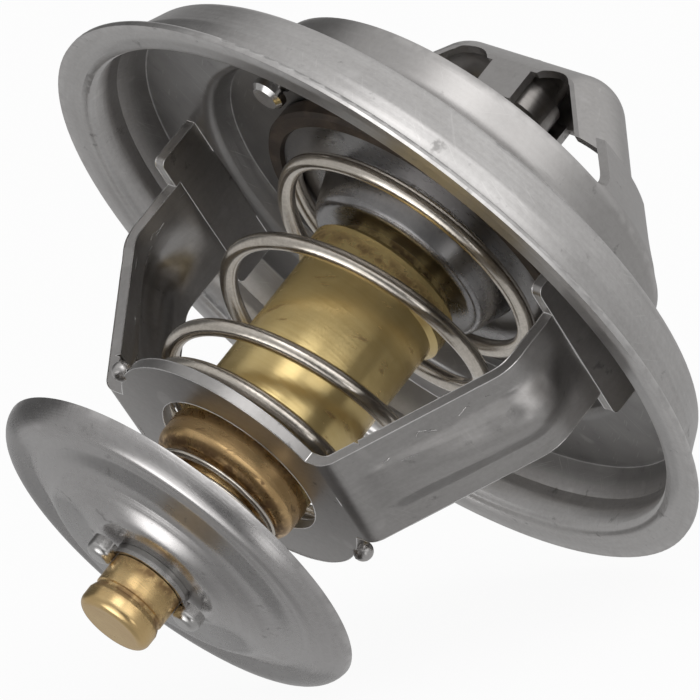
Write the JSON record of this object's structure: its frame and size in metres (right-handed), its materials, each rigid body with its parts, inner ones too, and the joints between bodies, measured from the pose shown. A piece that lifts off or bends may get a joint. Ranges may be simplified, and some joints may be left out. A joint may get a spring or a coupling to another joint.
{
  "type": "engine thermostat",
  "caption": "Two-way engine coolant thermostat: stepped flange and cage, wax element in a stirrup frame with return spring, spring-loaded bypass disc.",
  "frame": {"origin": "on the axis, at the bypass-side face of the seating rim", "axes": "+Z along the axis toward the outlet cage, +X toward one frame leg"},
  "size_m": [0.067, 0.067, 0.064],
  "materials": {
    "pressed_steel": "satin deep-drawn stainless sheet",
    "frame_steel": "satin stainless sheet",
    "spring_steel": "smooth drawn wire",
    "ground_steel": "ground and polished",
    "plug_steel": "turned",
    "brass": "turned and burnished",
    "red_brass": "turned, a little redder",
    "seal_rubber": "moulded, dark brown",
    "boot_rubber": "moulded, black",
    "wax": "wax filled with copper powder",
    "washer_plastic": "hard low-friction plastic"
  },
  "bodies": {
    "housing": {"flange": "pressed_steel", "bridge": "pressed_steel", "seat_plug": "plug_steel", "piston": "ground_steel", "frame": "frame_steel", "main_spring": "spring_steel"},
    "element": {"element_cup": "brass", "end_cap": "red_brass", "wax_charge": "wax", "rubber_boot": "boot_rubber", "guide_body": "brass", "piston_seal": "boot_rubber", "backup_washer": "washer_plastic", "valve_plate": "pressed_steel", "valve_rubber": "seal_rubber", "plate_ring": "frame_steel", "stem": "red_brass", "bypass_spring": "spring_steel", "stop_washer": "frame_steel", "retaining_clip": "frame_steel"},
    "bypass_valve": {"bypass_disc": "pressed_steel"},
    "vent": {"vent_pin": "ground_steel", "vent_weight": "plug_steel"}
  },
  "joints": [
    {"name": "valve_lift", "type": "slide", "parent": "housing", "child": "element", "axis": [0, 0, -1], "range_m": [0, 0.008], "stiffness_N_per_m": 6000, "springref_m": -0.012, "deforming": ["main_spring"]},
    {"name": "bypass_give", "type": "slide", "parent": "element", "child": "bypass_valve", "axis": [0, 0, 1], "range_m": [0, 0.003], "stiffness_N_per_m": 800, "springref_m": -0.003, "deforming": ["bypass_spring"]},
    {"name": "vent_slide", "type": "slide", "parent": "housing", "child": "vent", "axis": [0, 0, 1], "range_m": [0, 0.0007]}
  ]
}
